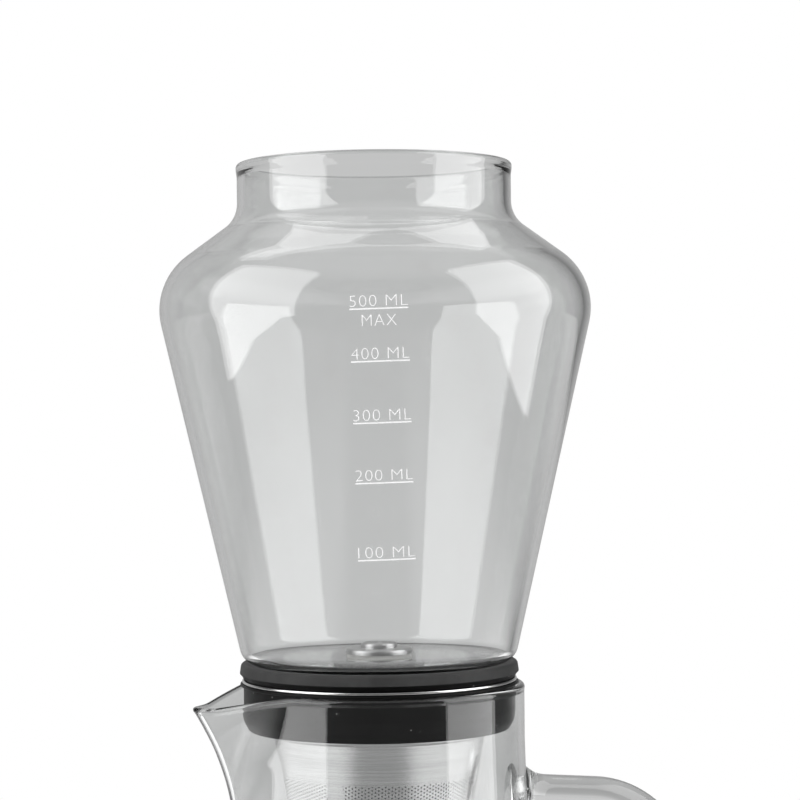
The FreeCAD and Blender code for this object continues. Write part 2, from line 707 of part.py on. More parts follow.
screen = turned_body("inlet_screen", [
    ("0", "flange_top + screen_height", None),
    ("screen_radius", "flange_top + screen_height", "screen_height / 2"),
    ("screen_radius", "flange_top", None),
    ("screen_radius - screen_sheet", "flange_top", None),
    ("screen_radius - screen_sheet", "flange_top + screen_height - screen_sheet",
     "screen_height / 2 - screen_sheet"),
    ("0", "flange_top + screen_height - screen_sheet", None),
])
for ring, count in ((1, 6), (2, 12)):
    hole = cut_through(screen, f"screen_{ring}_hole", "XY_Plane", lambda sketch: draw_circle(
        sketch, "screen_hole_radius", f"screen_pitch * {ring}"))
    ring_pattern(screen, hole, f"screen_{ring}_holes", str(count))
finish(screen)

needle = turned_body("metering_needle", [
    ("outlet_radius", "tip_top", None),
    ("needle_thread_radius", "tip_top", None),
    ("needle_thread_radius", "key_foot", None),
    ("stem_radius", "key_foot", None),
    ("stem_radius", "ring_level - ring_section - slip_gap", None),
    ("ring_seat_radius", "ring_level - ring_section - slip_gap", None),
    ("ring_seat_radius", "ring_level + ring_section + slip_gap", None),
    ("stem_radius", "ring_level + ring_section + slip_gap", None),
    ("stem_radius", "nose_bottom", None),
    ("needle_nose_radius", "nose_bottom", None),
    ("needle_nose_radius", "nose_top", None),
    ("needle_point_radius", "nose_point", None),
    ("0", "nose_point", None),
    ("0", "port_level + outlet_radius", None),
    ("outlet_radius", "port_level + outlet_radius", None),
])
cut_through(needle, "cross_port", "XZ_Plane",
            lambda sketch: draw_circle(sketch, "port_radius", "0", "port_level"))


def draw_flats(sketch):
    for side in ("", "-"):
        draw_outline(sketch, [
            ("-shank_radius", f"{side}needle_thread_radius", None),
            ("shank_radius", f"{side}needle_thread_radius", None),
            ("shank_radius", f"{side}shank_radius", None),
            ("-shank_radius", f"{side}shank_radius", None),
        ])


cut_through(needle, "key_flats", "XY_Plane", draw_flats, length="key_length",
            through=False, offset="key_foot", reversed_cut=True)
finish(needle)

ring = new_body("needle_ring")
ring_side = new_sketch(ring, "ring_side", "XZ_Plane")
draw_circle(ring_side, "ring_section", "ring_place", "ring_level")
ring_turn = ring.newObject("PartDesign::Revolution", "ring_turn")
ring_turn.Profile = ring_side
ring_turn.ReferenceAxis = (ring_side, ["V_Axis"])
ring_turn.Angle = 360
finish(ring)

finish(turned_body("drip_tip", [
    ("outlet_radius", "tip_top", None),
    ("needle_thread_radius", "tip_top", None),
    ("tip_radius", "tip_top - tip_length", "outlet_radius / 4"),
    ("outlet_radius", "tip_top - tip_length", None),
]))

knob = turned_body("adjuster_knob", [
    ("knob_bore", "knob_top", None),
    ("knob_radius", "knob_top", "knob_height / 6"),
    ("knob_radius", "knob_bottom", "knob_height / 8"),
    ("insert_radius", "knob_bottom", None),
    ("insert_radius", "web_bottom", None),
    ("knob_bore", "web_bottom", None),
])
flute = cut_through(knob, "grip_flute", "XY_Plane", lambda sketch: draw_circle(
    sketch, "knob_rib_radius", "knob_radius + knob_rib_radius / 2"))
ring_pattern(knob, flute, "grip_flutes", "knob_rib_count")
finish(knob)

finish(turned_body("knob_insert", [
    ("needle_thread_radius + slip_gap", "knob_bottom", None),
    ("insert_radius", "knob_bottom", None),
    ("insert_radius", "insert_top", None),
    ("needle_thread_radius + slip_gap", "insert_top", None),
]))

clip = turned_body("knob_clip", [
    ("clip_seat_radius + slip_gap", "clip_bottom", None),
    ("clip_radius", "clip_bottom", None),
    ("clip_radius", "clip_top", None),
    ("clip_seat_radius + slip_gap", "clip_top", None),
])
cut_through(clip, "clip_opening", "XY_Plane", lambda sketch: draw_outline(sketch, [
    ("-clip_mouth / 2", "0", None),
    ("clip_mouth / 2", "0", None),
    ("clip_mouth / 2", "clip_radius * 2", None),
    ("-clip_mouth / 2", "clip_radius * 2", None),
]))
finish(clip)

# ---- Check and write ----

doc.recompute()
for item in doc.Objects:
    if {"Invalid", "Error"} & set(item.State):
        raise RuntimeError(f"{item.Label} failed: {item.State}")
os.makedirs("parts", exist_ok=True)
for item in sub_parts:
    if item.Shape.isNull() or not item.Shape.isValid() or not item.Shape.Solids:
        raise RuntimeError(f"{item.Label} is not a sound solid")
    item.Shape.exportStep(f"parts/{item.Label}.step")
    print(f"{item.Label}: {len(item.Shape.Solids)} solid, {item.Shape.Volume:.1f} mm3")
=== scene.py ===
import math

import bmesh
import bpy
from mathutils import Matrix, Vector


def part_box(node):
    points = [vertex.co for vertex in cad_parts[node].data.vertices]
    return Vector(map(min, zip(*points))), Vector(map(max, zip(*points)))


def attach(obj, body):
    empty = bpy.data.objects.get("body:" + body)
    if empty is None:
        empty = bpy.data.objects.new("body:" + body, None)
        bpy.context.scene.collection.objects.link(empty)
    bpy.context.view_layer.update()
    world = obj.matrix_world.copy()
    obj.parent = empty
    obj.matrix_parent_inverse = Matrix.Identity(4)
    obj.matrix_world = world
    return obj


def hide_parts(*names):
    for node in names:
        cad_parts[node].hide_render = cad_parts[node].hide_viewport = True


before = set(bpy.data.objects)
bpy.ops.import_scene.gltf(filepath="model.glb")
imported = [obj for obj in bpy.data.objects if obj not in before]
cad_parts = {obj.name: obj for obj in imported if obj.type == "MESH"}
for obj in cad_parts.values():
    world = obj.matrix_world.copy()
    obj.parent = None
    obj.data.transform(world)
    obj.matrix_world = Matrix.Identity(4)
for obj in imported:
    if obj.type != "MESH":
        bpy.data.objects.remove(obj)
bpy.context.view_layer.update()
mm = 0.001
sameSpot = 0.002 * mm        # points nearer than this are one
print("stage: frame loaded")


# Outlines of turned pieces: corners are (radius, height, rounding) in millimetres

def roundedOutline(corners, closed=True, spacing=None, arcSteps=6):
    points = [Vector((across, level)) for across, level, _ in corners]
    last = len(points) - 1
    path = []
    for here, point in enumerate(points):
        rounding = corners[here][2]
        if not rounding or not closed and here in (0, last):
            path.append(point)
            continue
        back = (points[here - 1] - point).normalized()
        ahead = (points[(here + 1) % len(points)] - point).normalized()
        half = back.angle(ahead) / 2
        middle = point + (back + ahead).normalized() * (rounding / math.sin(half))
        first = point + back * (rounding / math.tan(half)) - middle
        sweep = math.pi - 2 * half
        turn = 1 if back.cross(ahead) < 0 else -1
        for step in range(arcSteps + 1):
            path.append(middle + Matrix.Rotation(turn * sweep * step / arcSteps, 2) @ first)
    if spacing:
        path = divideLongRuns(path, spacing, closed)
    return [point * mm for point in path]


def divideLongRuns(path, spacing, closed):
    pairs = zip(path, path[1:] + path[:1] if closed else path[1:])
    divided = []
    for start, stop in pairs:
        parts = max(1, round((stop - start).length / spacing))
        divided += [start.lerp(stop, part / parts) for part in range(parts)]
    return divided if closed else divided + [path[-1]]


def turnedMesh(corners, closed=True, segments=192, spacing=None, arcSteps=6):
    mesh = bmesh.new()
    outline = roundedOutline(corners, closed, spacing, arcSteps)
    path = [mesh.verts.new((point.x, 0, point.y)) for point in outline]
    pairs = zip(path, path[1:] + path[:1] if closed else path[1:])
    edges = [mesh.edges.new(pair) for pair in pairs]
    bmesh.ops.spin(mesh, geom=path + edges, cent=(0, 0, 0), axis=(0, 0, 1),
                   angle=2 * math.pi, steps=segments, use_merge=True)
    bmesh.ops.remove_doubles(mesh, verts=mesh.verts, dist=sameSpot)
    bmesh.ops.recalc_face_normals(mesh, faces=mesh.faces)
    return mesh


def stored(mesh, name):
    data = bpy.data.meshes.new(name)
    mesh.to_mesh(data)
    mesh.free()
    return data


def placed(name, data):
    holder = bpy.data.objects.new(name, data)
    bpy.context.scene.collection.objects.link(holder)
    return holder


def keepPiece(data, name, body, finish, stands=(), sharpAngle=32):
    if isinstance(data, bmesh.types.BMesh):
        data = stored(data, name)
    data.name = name
    data.polygons.foreach_set("use_smooth", [True] * len(data.polygons))
    data.set_sharp_from_angle(angle=math.radians(sharpAngle))
    data.materials.clear()
    data.materials.append(finish)
    piece = placed(name, data)
    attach(piece, body)
    if stands:
        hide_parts(*stands)


# Shader maths

class Signal:
    def __init__(self, paint, socket):
        self.paint = paint
        self.socket = socket

    def maths(self, operation, *values):
        return self.paint.node("ShaderNodeMath", {"operation": operation}, dict(enumerate(values)))

    def __add__(self, other):
        return self.maths("ADD", self, other)

    def __sub__(self, other):
        return self.maths("SUBTRACT", self, other)

    def __rsub__(self, other):
        return self.maths("SUBTRACT", other, self)

    def __mul__(self, other):
        return self.maths("MULTIPLY", self, other)

    def __truediv__(self, other):
        return self.maths("DIVIDE", self, other)

    def __gt__(self, other):
        return self.maths("GREATER_THAN", self, other)

    def __lt__(self, other):
        return self.maths("LESS_THAN", self, other)

    def __pow__(self, other):
        return self.maths("POWER", self, other)

    __radd__ = __add__
    __rmul__ = __mul__

    def least(self, other):
        return self.maths("MINIMUM", self, other)

    def most(self, other):
        return self.maths("MAXIMUM", self, other)

    def size(self):
        return self.maths("ABSOLUTE", self)

    def wrapped(self, span):
        return self.maths("PINGPONG", self, span)

    def ramp(self, low, high, lowValue=0.0, highValue=1.0):
        return self.paint.node("ShaderNodeMapRange", {"interpolation_type": "SMOOTHSTEP"},
                               {0: self, 1: low, 2: high, 3: lowValue, 4: highValue})


class Paint:
    def __init__(self, name, world=None):
        self.owner = world or bpy.data.materials.new(name)
        self.owner.use_nodes = True
        self.tree = self.owner.node_tree
        self.tree.nodes.clear()

    def node(self, kind, settings=None, inputs=None, output=0):
        made = self.tree.nodes.new(kind)
        for key, value in (settings or {}).items():
            setattr(made, key, value)
        for key, value in (inputs or {}).items():
            if isinstance(value, Signal):
                self.tree.links.new(value.socket, made.inputs[key])
            else:
                made.inputs[key].default_value = value
        return Signal(self, made.outputs[output]) if made.outputs else None

    def objectPlace(self):
        return self.node("ShaderNodeTexCoord", output="Object")

    def parts(self, vector):
        return [self.node("ShaderNodeSeparateXYZ", inputs={0: vector}, output=axis) for axis in "XYZ"]

    def stretched(self, scale):
        return self.node("ShaderNodeMapping", inputs={0: self.objectPlace(), "Scale": scale})

    def noise(self, vector, scale, detail=3.0, roughness=0.5):
        return self.node("ShaderNodeTexNoise", inputs={
            "Vector": vector, "Scale": scale, "Detail": detail, "Roughness": roughness})

    def blendColours(self, factor, first, second):
        return self.node("ShaderNodeMix", {"data_type": "RGBA"},
                         {0: factor, 6: first, 7: second}, output=2)

    def bump(self, height, strength, depth):
        return self.node("ShaderNodeBump", inputs={
            "Strength": strength, "Distance": depth * mm, "Height": height})

    def surface(self, **sockets):
        shader = self.node("ShaderNodeBsdfPrincipled", inputs={
            key.replace("_", " "): value for key, value in sockets.items()})
        self.node("ShaderNodeOutputMaterial", inputs={"Surface": shader})
        return self.owner


def grey(level):
    return (level, level, level, 1)


usualNoise = (0.3, 0.7)      # most of a noise's values lie between these

# Finishes: scales are per metre, depths in millimetres, pairs are the low and high ends of a ramp

glassFinish = {
    "tint": (0.955, 0.962, 0.960),
    "ior": 1.47,
    "ripple": 0.035,         # strength of the slow waves of blown glass
    "rippleDepth": 0.4,
    "rippleScale": 38.0,
    "rippleStretch": (1, 1, 0.45),
    "film": 0.004,           # roughness of the faint film left by handling
    "filmScale": 95.0,
    "filmPatches": (0.52, 0.78),
    "filmShade": 0.985,
}


def makeGlass(name, values):
    paint = Paint(name)
    place = paint.objectPlace()
    waves = paint.noise(paint.stretched(values["rippleStretch"]), values["rippleScale"],
                        detail=2.0, roughness=0.4)
    film = paint.noise(place, values["filmScale"], detail=4.0, roughness=0.6)
    smears = film.ramp(*values["filmPatches"])
    tint = paint.blendColours(smears, (*values["tint"], 1), grey(values["tint"][0] * values["filmShade"]))
    return paint.surface(
        Base_Color=tint, Metallic=0.0, Roughness=smears * values["film"], IOR=values["ior"],
        Transmission_Weight=1.0, Normal=paint.bump(waves, values["ripple"], values["rippleDepth"]))


steelFinish = {
    "light": 0.72,
    "dark": 0.60,
    "roughness": 0.15,
    "fineRoughness": 0.08,   # added on the ridges of the brushing
    "fineRange": (0.25, 0.75),
    "broadRoughness": 0.04,
    "brush": 0.22,
    "brushDepth": 0.02,
    "brushScale": 2600.0,    # across the strokes
    "strokeScale": 0.9,      # per radian, along them
    "fineShare": 0.7,
    "broadScale": 14.0,
    "broadStretch": (1, 1, 30),
    "holePitch": 0.94,       # millimetres, between neighbouring holes
    "holeRadius": 0.19,
    "holeEdge": 0.2,         # softness of its edge, as a share of its radius
    # tone of the holes: painted shade for the dim inside of the filter seen through them
    "holeShadeTone": 0.05,
    "holesTop": 117.5,       # height at which the perforation stops
    "floorReach": 12.6,      # radius at which the floor's holes stop
    "seamPlace": -41.0,      # degrees, from -Y towards +X, to the plain strip over the weld
    "seamHalf": 5.2,
}
turnedFinish = {**steelFinish, "light": 0.50, "dark": 0.40, "roughness": 0.30}


def brushMarks(paint, values):
    x, y, z = paint.parts(paint.objectPlace())
    radius = (x * x + y * y) ** 0.5
    around = paint.node("ShaderNodeMath", {"operation": "ARCTAN2"}, {0: y, 1: x})
    strokes = paint.node("ShaderNodeCombineXYZ", inputs={
        0: around * values["strokeScale"], 1: z * values["brushScale"], 2: radius * values["brushScale"]})
    fine = paint.noise(strokes, 1.0, detail=5.0, roughness=0.7)
    broad = paint.noise(paint.stretched(values["broadStretch"]), values["broadScale"], detail=2.0)
    return fine, broad


def makeSteel(name, values, holes=None):
    paint = Paint(name)
    fine, broad = brushMarks(paint, values)
    tone = fine * values["fineShare"] + broad * (1 - values["fineShare"])
    colour = paint.blendColours(tone.ramp(*usualNoise), grey(values["dark"]), grey(values["light"]))
    rough = values["roughness"] + fine.ramp(*values["fineRange"]) * values["fineRoughness"] \
        + broad * values["broadRoughness"]
    sockets = dict(Base_Color=colour, Metallic=1.0, Roughness=rough,
                   Normal=paint.bump(fine, values["brush"], values["brushDepth"]))
    # The perforation is a real pattern; its holes are painted as dull dark dots, a painted shade for the
    # inside seen through them
    if holes:
        pierced = holes(paint, values)
        sockets["Base_Color"] = paint.blendColours(pierced, colour, grey(values["holeShadeTone"]))
        sockets["Metallic"] = 1 - pierced
    return paint.surface(**sockets)


def holeLattice(u, v, values):
    # Two oblong lattices, set apart by half a step both ways, give each hole six neighbours
    pitch, rows = values["holePitch"], values["holePitch"] * math.sqrt(3)
    shares = []
    for shift in (0.0, 0.5):
        du = (u + shift * rows).wrapped(rows / 2)
        dv = (v + shift * pitch).wrapped(pitch / 2)
        shares.append((du * du + dv * dv) ** 0.5)
    near = shares[0].least(shares[1])
    return 1 - near.ramp(values["holeRadius"] * (1 - values["holeEdge"]),
                         values["holeRadius"] * (1 + values["holeEdge"]))


def coneHoles(paint, values):
    x, y, z = paint.parts(paint.objectPlace())
    u, v, _ = paint.parts(paint.node("ShaderNodeUVMap", {"uv_map": "rolled"}))
    inBand = z / mm < values["holesTop"]
    seam = math.radians(values["seamPlace"])
    towardsSeam = (x * math.sin(seam) - y * math.cos(seam)) / (x * x + y * y) ** 0.5
    offSeam = towardsSeam < math.cos(math.radians(values["seamHalf"]))
    return holeLattice(u, v, values) * inBand * offSeam


def floorHoles(paint, values):
    x, y, _ = paint.parts(paint.objectPlace())
    reach = (x * x + y * y) ** 0.5 / mm
    return holeLattice(x / mm, y / mm, values) * (reach < values["floorReach"])


rubberFinish = {
    "tone": 0.030,
    "worn": 1.5,             # how much paler its cloudy places are
    "roughness": 0.48,
    "cloudRoughness": 0.14,
    "specular": 0.12,
    "cloudScale": 120.0,
    "cloudRange": (0.3, 0.75),
    "grain": 0.25,
    "grainDepth": 0.03,
    "grainScale": 2200.0,
    "dust": 0.30,            # tone of the dust
    "dustAmount": 1.0,
    "chanceScale": 310.0,
    "speckScale": 520.0,
    "speckSize": (0.05, 0.13),
    "speckChance": (0.60, 0.66),
    "hairScale": 260.0,
    "hairStretch": (1, 2.4, 5.5),
    "hairWidth": (0.001, 0.004),
    "hairChance": (0.62, 0.70),
    "hairAmount": 0.4,
    "paintedShadeTone": 0.0015,         # near-black tone painted as shade below a height, where the lower band lies in shadow
    "paintedShadeBelow": None,      # that height
    "paintedShadeBlend": 0.15,
}
ringFinish = {**rubberFinish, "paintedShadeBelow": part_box("tank_glass")[0].z / mm - 2.2}    # its widest edge
gasketFinish = {**rubberFinish, "tone": 0.004, "dustAmount": 0.7, "roughness": 0.36}


def makeRubber(name, values):
    paint = Paint(name)
    place = paint.objectPlace()
    cloud = paint.noise(place, values["cloudScale"], detail=4.0, roughness=0.6)
    grain = paint.noise(place, values["grainScale"], detail=2.0)
    cells = paint.node("ShaderNodeTexVoronoi", {"feature": "F1"}, {
        "Vector": place, "Scale": values["speckScale"]})
    chance = paint.noise(place, values["chanceScale"], detail=1.0)
    specks = (1 - cells.ramp(*values["speckSize"])) * chance.ramp(*values["speckChance"])
    fibres = paint.noise(paint.stretched(values["hairStretch"]), values["hairScale"],
                         detail=1.0, roughness=0.4)
    hairs = (1 - (fibres - 0.5).size().ramp(*values["hairWidth"])) * chance.ramp(*values["hairChance"])
    dust = (specks + hairs * values["hairAmount"]) * values["dustAmount"]
    worn = grey(values["tone"] * values["worn"])
    tone = paint.blendColours(cloud.ramp(*values["cloudRange"]), grey(values["tone"]), worn)
    # Painted shade: under the given height the tone turns near black, standing in for the shadow under the
    # ring's widest edge
    if values["paintedShadeBelow"]:
        low, high = (values["paintedShadeBelow"] + side * values["paintedShadeBlend"] for side in (-1, 1))
        outOfPaintedShade = (paint.parts(place)[2] / mm).ramp(low, high)
        tone = paint.blendColours(outOfPaintedShade, grey(values["paintedShadeTone"]), tone)
    return paint.surface(
        Base_Color=paint.blendColours(dust.least(1.0), tone, grey(values["dust"])), Metallic=0.0,
        Roughness=values["roughness"] + cloud.ramp(*usualNoise) * values["cloudRoughness"],
        Specular_IOR_Level=values["specular"],
        Normal=paint.bump(grain, values["grain"], values["grainDepth"]))


clearRubberFinish = {
    "dark": (0.70, 0.70, 0.68, 1),
    "light": (0.82, 0.82, 0.80, 1),
    "roughness": 0.34,
    "cloudRoughness": 0.1,
    "clearness": 0.35,
    "ior": 1.41,
    "cloudScale": 160.0,
    "grain": 0.15,
    "grainDepth": 0.02,
    "grainScale": 1500.0,
}


def makeClearRubber(name, values):
    paint = Paint(name)
    place = paint.objectPlace()
    cloud = paint.noise(place, values["cloudScale"])
    grain = paint.noise(place, values["grainScale"], detail=2.0)
    return paint.surface(
        Base_Color=paint.blendColours(cloud.ramp(*usualNoise), values["dark"], values["light"]), Metallic=0.0,
        Roughness=values["roughness"] + cloud * values["cloudRoughness"],
        Transmission_Weight=values["clearness"], IOR=values["ior"],
        Normal=paint.bump(grain, values["grain"], values["grainDepth"]))


plasticFinish = {
    "dark": 0.028,
    "light": 0.045,
    "roughness": 0.42,
    "cloudRoughness": 0.12,
    "cloudScale": 90.0,
    "grain": 0.35,
    "grainDepth": 0.04,
    "grainScale": 3200.0,
}


def makePlastic(name, values):
    paint = Paint(name)
    place = paint.objectPlace()
    grain = paint.noise(place, values["grainScale"], roughness=0.6)
    cloud = paint.noise(place, values["cloudScale"])
    return paint.surface(
        Base_Color=paint.blendColours(cloud.ramp(*usualNoise), grey(values["dark"]), grey(values["light"])),
        Metallic=0.0, Roughness=values["roughness"] + cloud * values["cloudRoughness"],
        Normal=paint.bump(grain, values["grain"], values["grainDepth"]))


printFinish = {
    "thin": 0.86,            # tone where the ink is thin
    "full": 0.95,
    "roughness": 0.42,
    "patchRoughness": 0.2,
    "patchScale": 900.0,
}


def makePrint(name, values):
    paint = Paint(name)
    patchy = paint.noise(paint.objectPlace(), values["patchScale"], detail=4.0, roughness=0.7)
    return paint.surface(
        Base_Color=paint.blendColours(patchy.ramp(*usualNoise), grey(values["thin"]), grey(values["full"])),
        Metallic=0.0, Roughness=values["roughness"] + patchy * values["patchRoughness"])


clearGlass = makeGlass("clearGlass", glassFinish)
brushedSteel = makeSteel("brushedSteel", steelFinish)
coneSteel = makeSteel("perforatedConeSteel", steelFinish, coneHoles)
floorSteel = makeSteel("perforatedFloorSteel", steelFinish, floorHoles)
turnedSteel = makeSteel("turnedSteel", turnedFinish)
blackRubber = makeRubber("blackRubber", ringFinish)
charcoalRubber = makeRubber("charcoalRubber", gasketFinish)
clearRubber = makeClearRubber("clearRubber", clearRubberFinish)
knobPlastic = makePlastic("knobPlastic", plasticFinish)
whitePrint = makePrint("whitePrint", printFinish)
print("stage: finishes made")


# Turned glass

def innerCorners(corners, wall):
    # The same corners, moved in by the wall; the inside lies to the left of the way the outline runs
    points = [Vector((across, level)) for across, level, _ in corners]
    runs = [(stop - start).normalized() for start, stop in zip(points, points[1:])]
    runs = [runs[0]] + runs + [runs[-1]]
    moved = []
    for point, corner, before, after in zip(points, corners, runs, runs[1:]):
        normals = [Vector((-run.y, run.x)) for run in (before, after)]
        place = point + (normals[0] + normals[1]) * (wall / (1 + normals[0].dot(normals[1])))
        turnsIn = before.cross(after) > 0
        rounding = corner[2] and corner[2] + (-wall if turnsIn else wall)
        moved.append((place.x, place.y, rounding))
    return moved


tankLow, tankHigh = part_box("tank_glass")
tank = {
    "bottom": tankLow.z / mm,
    "top": tankHigh.z / mm,
    "wall": 1.8,
    "footRadius": 34.5,
    "footRound": 5.0,
    "shoulderRadius": 56.9,  # where the slopes would meet without their rounding
    "shoulderHeight": 97.1,
    "shoulderRound": 17.0,
    "collarRise": 16.1,
    "collarRound": 8.0,
    "neckRadius": 34.9,
    "holeRadius": 5.6,
    "rimThick": 2.3,         # fire-polished rim, a little thicker than the wall
    "rimDepth": 3.4,         # from the top to where the rim starts to thicken
    "rimFull": 0.75,         # and to where it has thickened, as a share of its thickness
    "rimRound": 0.48,        # also as a share
    "rimBlend": 1.5,
}


def tankOutline(size):
    shoulder = size["bottom"] + size["shoulderHeight"]
    return [
        (size["holeRadius"], size["bottom"], None),
        (size["footRadius"], size["bottom"], size["footRound"]),
        (size["shoulderRadius"], shoulder, size["shoulderRound"]),
        (size["neckRadius"], shoulder + size["collarRise"], size["collarRound"]),
        (size["neckRadius"], size["top"], None),
    ]


def buildTank(size):
    outside = tankOutline(size)
    inside = innerCorners(outside, size["wall"])
    outer, top, _ = outside.pop()
    inner = inside.pop()[0]
    swell = (size["rimThick"] - size["wall"]) / 2
    start = top - size["rimDepth"]
    full = top - size["rimThick"] * size["rimFull"]
    rimRound = size["rimThick"] * size["rimRound"]
    rim = [
        (outer, start, size["rimBlend"]),
        (outer + swell, full, size["rimBlend"]),
        (outer + swell, top, rimRound),
        (inner - swell, top, rimRound),
        (inner - swell, full, size["rimBlend"]),
        (inner, start, size["rimBlend"])]
    return turnedMesh(outside + rim + inside[::-1], segments=256, spacing=5.0, arcSteps=14)


keepPiece(buildTank(tank), "tank", "tank", clearGlass, ["tank_glass"])
print("stage: tank")


# Carafe, with its pulled spout and the handle melted on

carafe = {
    "height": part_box("carafe_glass")[1].z / mm,
    "wall": 1.8,
    "floor": 3.0,
    "kick": 1.2,             # how far the middle of the floor is pushed up
    "kickShare": 0.5,        # where the push ends, as a share of the foot's radius
    "kickEdge": 0.05,
    "kickSweep": 60.0,
    "footRadius": 57.0,
    "footRound": 14.0,
    "neckDrop": 37.3,
    "neckRadius": 37.4,
    "neckSweep": 190.0,
    "mouthRadius": 36.8,
    "lipRadius": 36.85,
    "lipDepth": 14.0,
    "lipSwell": 0.25,        # how far the fire-polished rim stands out on each side
    "lipBead": 1.9,          # its height
    "lipBlend": 1.0,
    "lipRound": 1.1,
    "crowding": 0.55,        # how much closer the mesh is at the spout
}
spout = {
    "reach": 11.7,
    "drop": 4.6,
    "length": 39.0,
    "fade": 0.3,             # depth inside the neck at which its ridge starts
    "tipRound": 3.4,
    "rootRound": 9.0,
    "lipStart": 27.8,        # from the axis to where the lip starts to fall
    "lipSweep": 10.0,
    "knee": 43.5,
    "kneeShare": 0.90,       # how much of the fall is behind the knee
    "settle": 20.0,          # depth under the lip over which the fall fades out
    "widest": 0.9,           # radians from the ridge to where the spout is sure to have ended
}
handle = {
    "radius": 4.9,
    "drop": 29.4,
    "reach": 80.5,
    "droop": 4.1,
    "topBend": 24.0,
    "lowBend": 23.0,
    "tuck": 3.0,
    "height": 70.0,
    "rootRadius": 7.6,
    "rootLength": 6.5,
    "rootFall": 2.4,         # how fast the root narrows
    "start": 32.5,
}


def along(line, place):
    # Value of a line of points over a place on it
    for start, stop in zip(line, line[1:]):
        if place <= stop.x:
            break
    return start.lerp(stop, (place - start.x) / (stop.x - start.x)).y


def radiusLine(corners, low, high):
    # Radius of a turned outline against its height, between two heights
    points = [point / mm for point in roundedOutline(corners, closed=False, arcSteps=30)]
    return [Vector((point.y, point.x)) for point in points if low <= point.y <= high]


def smooth(value, low, high):
    share = min(max((value - low) / (high - low), 0), 1)
    return share * share * (3 - 2 * share)


def carafeOutline(size):
    top = size["height"]
    return [
        (0, size["kick"], None),
        (size["footRadius"] * size["kickShare"], size["kickEdge"], size["kickSweep"]),
        (size["footRadius"], 0, size["footRound"]),
        (size["neckRadius"], top - size["neckDrop"], size["neckSweep"]),
        (size["mouthRadius"], top - size["lipDepth"], None),
        (size["lipRadius"], top - size["lipBead"], size["lipBlend"]),
        (size["lipRadius"] + size["lipSwell"], top, size["lipRound"]),
    ]


def pulledRadius(angle, radius, depth, sunk, values):
    # The neck's circle and a small tip arc, joined by two tangents; the tip leans out towards the lip
    whole = values["length"] + values["drop"]
    share = (whole - depth) / values["length"]
    if share <= 0:
        return radius
    tip = values["tipRound"] + (values["rootRound"] - values["tipRound"]) * depth / whole - sunk
    ridge = radius - values["fade"] + values["reach"] * share ** 2
    middle = ridge - tip
    if ridge <= radius or middle <= radius - tip:
        return radius
    lean = math.acos((radius - tip) / middle)
    turned = abs(angle)
    if turned >= lean:
        return radius
    if turned < math.atan2(tip * math.sin(lean), middle + tip * math.cos(lean)):
        return middle * math.cos(turned) + math.sqrt(tip ** 2 - (middle * math.sin(turned)) ** 2)
    return radius / math.cos(lean - turned)


def pullSpout(mesh, size, values):
    top = size["height"]
    fall = values["drop"]
    share = values["kneeShare"]
    lip = [point / mm for point in roundedOutline([
        (0, top, None),
        (values["lipStart"], top, values["lipSweep"]),
        (values["knee"], top - fall * share, values["lipSweep"]),
        (size["mouthRadius"] * 2, top - fall * (2 - share), None)], closed=False, arcSteps=12)]
    side = radiusLine(carafeOutline(size), size["footRound"], top)
    start = top - values["length"] - fall
    for vert in mesh.verts:
        height = vert.co.z / mm
        angle = math.atan2(vert.co.y, -vert.co.x)
        if height < start or abs(angle) > values["widest"]:
            continue
        radius = vert.co.to_2d().length / mm
        sunk = max(along(side, min(height, top - size["lipRound"])) - radius, 0)
        atLip = pulledRadius(angle, size["lipRadius"] - sunk, fall, sunk, values)
        height -= (top - along(lip, atLip * math.cos(angle))) * smooth(height, top - values["settle"], top)
        radius = pulledRadius(angle, radius, top - height, sunk, values)
        vert.co = Vector((-math.cos(angle) * radius, math.sin(angle) * radius, height)) * mm


def bentRod(path, widths, segments):
    # A round rod along a path in the XZ plane; each end stays flat
    mesh = bmesh.new()
    bmesh.ops.create_circle(mesh, cap_ends=True, segments=segments, radius=1)
    face = mesh.faces[:][0]
    last = Matrix.Identity(4)
    for here, (point, width) in enumerate(zip(path, widths)):
        ahead = (path[min(here + 1, len(path) - 1)] - path[max(here - 1, 0)]).normalized()
        stand = Matrix((
            (0, ahead.y * width, ahead.x, point.x),
            (width, 0, 0, 0),
            (0, -ahead.x * width, ahead.y, point.y),
            (0, 0, 0, 1)))
        if here:
            face = bmesh.ops.extrude_discrete_faces(mesh, faces=[face])["faces"][0]
        bmesh.ops.transform(mesh, matrix=stand @ last.inverted(), verts=face.verts)
        last = stand
    bmesh.ops.contextual_create(mesh, geom=[edge for edge in mesh.edges if edge.is_boundary])
    bmesh.ops.recalc_face_normals(mesh, faces=mesh.faces)
    return mesh


def buildHandle(size, body):
    level = body["height"] - size["drop"]
    path = roundedOutline([
        (size["start"], level, None),
        (size["reach"], level - size["droop"], size["topBend"]),
        (size["reach"] - size["tuck"], level - size["height"], size["lowBend"]),
        (size["start"], level - size["height"], None)], closed=False, spacing=1.6, arcSteps=22)
    side = radiusLine(carafeOutline(body), body["footRound"], body["height"] - body["lipDepth"])
    inWall = body["wall"] / 2
    kept, widths = [], []
    for point in path:
        clear = point.x / mm - along(side, point.y / mm)
        if clear < -inWall:
            continue
        share = min(max(clear / size["rootLength"], 0), 1)
        swell = (size["rootRadius"] - size["radius"]) * (1 - share) ** size["rootFall"]
        kept.append(point)
        widths.append((size["radius"] + swell) * mm)
    mesh = bentRod(kept, widths, segments=56)
    # The flat ends follow the middle of the carafe's wall
    for vert in mesh.verts:
        outer = along(side, vert.co.z / mm)
        reach = vert.co.to_2d().length / mm
        if reach < outer:
            vert.co.x *= (outer - inWall) / reach
    return mesh


